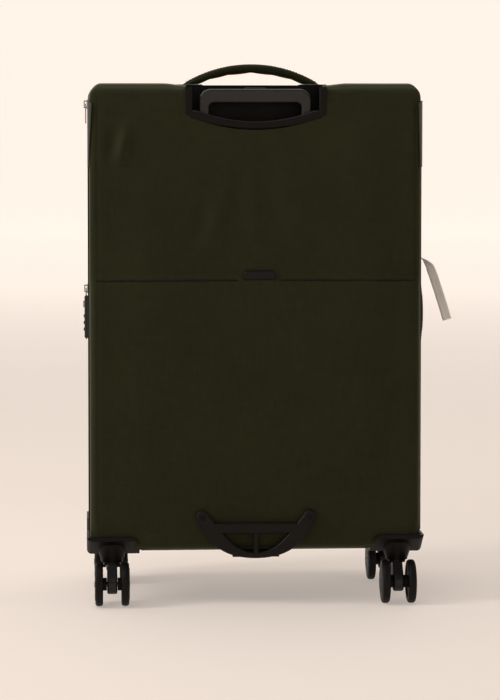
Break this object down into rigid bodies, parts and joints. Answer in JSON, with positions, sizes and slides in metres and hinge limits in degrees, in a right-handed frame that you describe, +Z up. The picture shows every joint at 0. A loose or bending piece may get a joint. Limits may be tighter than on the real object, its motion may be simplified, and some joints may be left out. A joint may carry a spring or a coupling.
{
  "type": "softside upright suitcase",
  "caption": "Softside upright suitcase with a recessed telescopic handle, swivelling twin-wheel casters, zipped lid, expansion zip, combination lock and carry handles.",
  "frame": {"origin": "on the floor, below the middle of the body's width, with the case standing on its casters", "axes": "+Z up, back face with the trolley handle towards -Y, lid and pocket towards +Y, lock towards -X"},
  "size_m": [0.4865, 0.3002, 0.699],
  "materials": {
    "panel_fabric": "plain weave polyester",
    "side_fabric": "plain weave polyester",
    "band_fabric": "plain weave polyester",
    "lid_fabric": "plain weave polyester",
    "pocket_fabric": "plain weave polyester",
    "gusset_fabric": "thin lining cloth",
    "hinge_fabric": "plain weave polyester",
    "handle_fabric": "padded webbing",
    "anchor_webbing": "webbing",
    "zip_tape": "coil zip",
    "board_plastic": "fluted sheet",
    "hoop_plastic": "extruded",
    "bezel_plastic": "fine texture",
    "grip_plastic": "satin",
    "button_plastic": "satin",
    "bracket_plastic": "moulded",
    "kick_plastic": "fine texture",
    "housing_plastic": "fine texture",
    "tag_slot_plastic": "moulded",
    "tag_plastic": "moulded",
    "fork_plastic": "moulded",
    "wheel_rubber": "moulded polyurethane",
    "outer_tube_metal": "anodised",
    "middle_tube_metal": "anodised",
    "inner_tube_metal": "anodised",
    "pin_steel": "turned",
    "screw_steel": "blackened",
    "slider_metal": "gunmetal plating",
    "pull_metal": "gunmetal plating",
    "lock_plastic": "moulded",
    "lock_button_metal": "satin plating",
    "dial_plastic": "moulded",
    "ribbon": "translucent synthetic paper"
  },
  "bodies": {
    "shell": {"back_panel": "panel_fabric", "rear_gusset": "side_fabric", "back_board": "board_plastic", "frame_hoops": "hoop_plastic", "handle_bezel": "bezel_plastic", "outer_tubes": "outer_tube_metal", "tube_foot_bracket": "bracket_plastic", "bottom_grab_handle": "kick_plastic", "panel_screws": "screw_steel", "id_tag_slot": "tag_slot_plastic", "swivel_kingpins": "pin_steel", "corner_housing_back_left": "housing_plastic", "corner_housing_back_right": "housing_plastic", "corner_housing_front_left": "housing_plastic", "corner_housing_front_right": "housing_plastic", "handle_anchors": "anchor_webbing", "expansion_zip": "zip_tape", "expansion_gusset": "gusset_fabric"},
    "front_section": {"front_band": "band_fabric", "main_zip": "zip_tape", "lid_hinge_strip": "hinge_fabric", "lock_body": "lock_plastic"},
    "front_lid": {"front_lid": "lid_fabric", "front_pocket": "pocket_fabric"},
    "lock_button": {"lock_button": "lock_button_metal"},
    "middle_stage": {"middle_tubes": "middle_tube_metal"},
    "grip_stage": {"inner_tubes": "inner_tube_metal", "trolley_grip": "grip_plastic"},
    "push_button": {"push_button": "button_plastic"},
    "id_tag": {"id_tag": "tag_plastic"},
    "top_handle": {"top_carry_handle": "handle_fabric"},
    "side_handle": {"side_carry_handle": "handle_fabric", "hang_tag": "ribbon"},
    "lock_dial_1": {"lock_dial_1": "dial_plastic"},
    "lock_dial_2": {"lock_dial_2": "dial_plastic"},
    "lock_dial_3": {"lock_dial_3": "dial_plastic"},
    "main_zip_upper_slider": {"main_zip_upper_slider": "slider_metal"},
    "main_zip_upper_pull": {"main_zip_upper_pull": "pull_metal"},
    "main_zip_lower_slider": {"main_zip_lower_slider": "slider_metal"},
    "main_zip_lower_pull": {"main_zip_lower_pull": "pull_metal"},
    "expansion_zip_slider": {"expansion_zip_slider": "slider_metal"},
    "expansion_zip_pull": {"expansion_zip_pull": "pull_metal"},
    "pocket_zip_slider": {"pocket_zip_slider": "slider_metal"},
    "pocket_zip_pull": {"pocket_zip_pull": "pull_metal"},
    "caster_back_left": {"caster_fork_back_left": "fork_plastic", "wheel_axle_back_left": "pin_steel"},
    "wheel_back_left_a": {"wheel_back_left_a": "wheel_rubber"},
    "wheel_back_left_b": {"wheel_back_left_b": "wheel_rubber"},
    "caster_back_right": {"caster_fork_back_right": "fork_plastic", "wheel_axle_back_right": "pin_steel"},
    "wheel_back_right_a": {"wheel_back_right_a": "wheel_rubber"},
    "wheel_back_right_b": {"wheel_back_right_b": "wheel_rubber"},
    "caster_front_left": {"caster_fork_front_left": "fork_plastic", "wheel_axle_front_left": "pin_steel"},
    "wheel_front_left_a": {"wheel_front_left_a": "wheel_rubber"},
    "wheel_front_left_b": {"wheel_front_left_b": "wheel_rubber"},
    "caster_front_right": {"caster_fork_front_right": "fork_plastic", "wheel_axle_front_right": "pin_steel"},
    "wheel_front_right_a": {"wheel_front_right_a": "wheel_rubber"},
    "wheel_front_right_b": {"wheel_front_right_b": "wheel_rubber"}
  },
  "joints": [
    {"name": "expansion_slide", "type": "slide", "parent": "shell", "child": "front_section", "axis": [0, 1, 0], "range_m": [0, 0.04], "deforming": ["expansion_gusset"]},
    {"name": "lid_hinge", "type": "hinge", "parent": "front_section", "child": "front_lid", "pos_m": [0.214, 0.116, 0.3705], "axis": [0, 0, -1], "range_deg": [0, 175], "deforming": ["lid_hinge_strip"]},
    {"name": "lock_button_press", "type": "slide", "parent": "front_section", "child": "lock_button", "axis": [1, 0, 0], "range_m": [0, 0.0015], "stiffness_N_per_m": 400, "springref_m": -0.0005},
    {"name": "middle_stage_slide", "type": "slide", "parent": "shell", "child": "middle_stage", "axis": [0, 0, 1], "range_m": [0, 0.19]},
    {"name": "grip_stage_slide", "type": "slide", "parent": "middle_stage", "child": "grip_stage", "axis": [0, 0, 1], "range_m": [0, 0.2]},
    {"name": "push_button_press", "type": "slide", "parent": "grip_stage", "child": "push_button", "axis": [0, 0, -1], "range_m": [0, 0.004], "stiffness_N_per_m": 300, "springref_m": -0.002},
    {"name": "id_tag_slide", "type": "slide", "parent": "shell", "child": "id_tag", "axis": [0, 0, 1], "range_m": [0, 0.06]},
    {"name": "top_handle_lift", "type": "slide", "parent": "shell", "child": "top_handle", "axis": [0, 0, 1], "range_m": [0, 0.008]},
    {"name": "side_handle_lift", "type": "slide", "parent": "shell", "child": "side_handle", "axis": [1, 0, 0], "range_m": [0, 0.008]},
    {"name": "lock_dial_1_turn", "type": "hinge", "parent": "front_section", "child": "lock_dial_1", "pos_m": [-0.2166, 0.1049, 0.339], "axis": [0, 0, 1], "continuous": true},
    {"name": "lock_dial_2_turn", "type": "hinge", "parent": "front_section", "child": "lock_dial_2", "pos_m": [-0.2166, 0.1049, 0.348], "axis": [0, 0, 1], "continuous": true},
    {"name": "lock_dial_3_turn", "type": "hinge", "parent": "front_section", "child": "lock_dial_3", "pos_m": [-0.2166, 0.1049, 0.357], "axis": [0, 0, 1], "continuous": true},
    {"name": "main_zip_upper_slide", "type": "slide", "parent": "front_section", "child": "main_zip_upper_slider", "axis": [0, 0, 1], "range_m": [0, 0.235]},
    {"name": "main_zip_upper_pull_swing", "type": "hinge", "parent": "main_zip_upper_slider", "child": "main_zip_upper_pull", "pos_m": [-0.2175, 0.116, 0.394], "axis": [0, 1, 0], "range_deg": [0, 170]},
    {"name": "main_zip_lower_slide", "type": "slide", "parent": "front_section", "child": "main_zip_lower_slider", "axis": [0, 0, -1], "range_m": [0, 0.235]},
    {"name": "main_zip_lower_pull_swing", "type": "hinge", "parent": "main_zip_lower_slider", "child": "main_zip_lower_pull", "pos_m": [-0.2175, 0.116, 0.35], "axis": [0, 1, 0], "range_deg": [0, 170]},
    {"name": "expansion_zip_slide", "type": "slide", "parent": "shell", "child": "expansion_zip_slider", "axis": [0, 0, -1], "range_m": [0, 0.22]},
    {"name": "expansion_zip_pull_swing", "type": "hinge", "parent": "expansion_zip_slider", "child": "expansion_zip_pull", "pos_m": [-0.2175, 0.095, 0.646], "axis": [0, 1, 0], "range_deg": [0, 170]},
    {"name": "pocket_zip_slide", "type": "slide", "parent": "front_lid", "child": "pocket_zip_slider", "axis": [0, 0, 1], "range_m": [0, 0.2]},
    {"name": "pocket_zip_pull_swing", "type": "hinge", "parent": "pocket_zip_slider", "child": "pocket_zip_pull", "pos_m": [-0.172, 0.1415, 0.3], "axis": [1, 0, 0], "range_deg": [0, 170]},
    {"name": "caster_back_left_swivel", "type": "hinge", "parent": "shell", "child": "caster_back_left", "pos_m": [-0.185, -0.11, 0.055], "axis": [0, 0, 1], "continuous": true},
    {"name": "wheel_back_left_a_roll", "type": "hinge", "parent": "caster_back_left", "child": "wheel_back_left_a", "pos_m": [-0.185, -0.128, 0.028], "axis": [1, 0, 0], "continuous": true},
    {"name": "wheel_back_left_b_roll", "type": "hinge", "parent": "caster_back_left", "child": "wheel_back_left_b", "pos_m": [-0.185, -0.128, 0.028], "axis": [1, 0, 0], "continuous": true},
    {"name": "caster_back_right_swivel", "type": "hinge", "parent": "shell", "child": "caster_back_right", "pos_m": [0.185, -0.11, 0.055], "axis": [0, 0, 1], "continuous": true},
    {"name": "wheel_back_right_a_roll", "type": "hinge", "parent": "caster_back_right", "child": "wheel_back_right_a", "pos_m": [0.185, -0.128, 0.028], "axis": [1, 0, 0], "continuous": true},
    {"name": "wheel_back_right_b_roll", "type": "hinge", "parent": "caster_back_right", "child": "wheel_back_right_b", "pos_m": [0.185, -0.128, 0.028], "axis": [1, 0, 0], "continuous": true},
    {"name": "caster_front_left_swivel", "type": "hinge", "parent": "shell", "child": "caster_front_left", "pos_m": [-0.185, 0.0675, 0.055], "axis": [0, 0, 1], "continuous": true},
    {"name": "wheel_front_left_a_roll", "type": "hinge", "parent": "caster_front_left", "child": "wheel_front_left_a", "pos_m": [-0.185, 0.0495, 0.028], "axis": [1, 0, 0], "continuous": true},
    {"name": "wheel_front_left_b_roll", "type": "hinge", "parent": "caster_front_left", "child": "wheel_front_left_b", "pos_m": [-0.185, 0.0495, 0.028], "axis": [1, 0, 0], "continuous": true},
    {"name": "caster_front_right_swivel", "type": "hinge", "parent": "shell", "child": "caster_front_right", "pos_m": [0.185, 0.0675, 0.055], "axis": [0, 0, 1], "continuous": true},
    {"name": "wheel_front_right_a_roll", "type": "hinge", "parent": "caster_front_right", "child": "wheel_front_right_a", "pos_m": [0.185, 0.0495, 0.028], "axis": [1, 0, 0], "continuous": true},
    {"name": "wheel_front_right_b_roll", "type": "hinge", "parent": "caster_front_right", "child": "wheel_front_right_b", "pos_m": [0.185, 0.0495, 0.028], "axis": [1, 0, 0], "continuous": true}
  ]
}
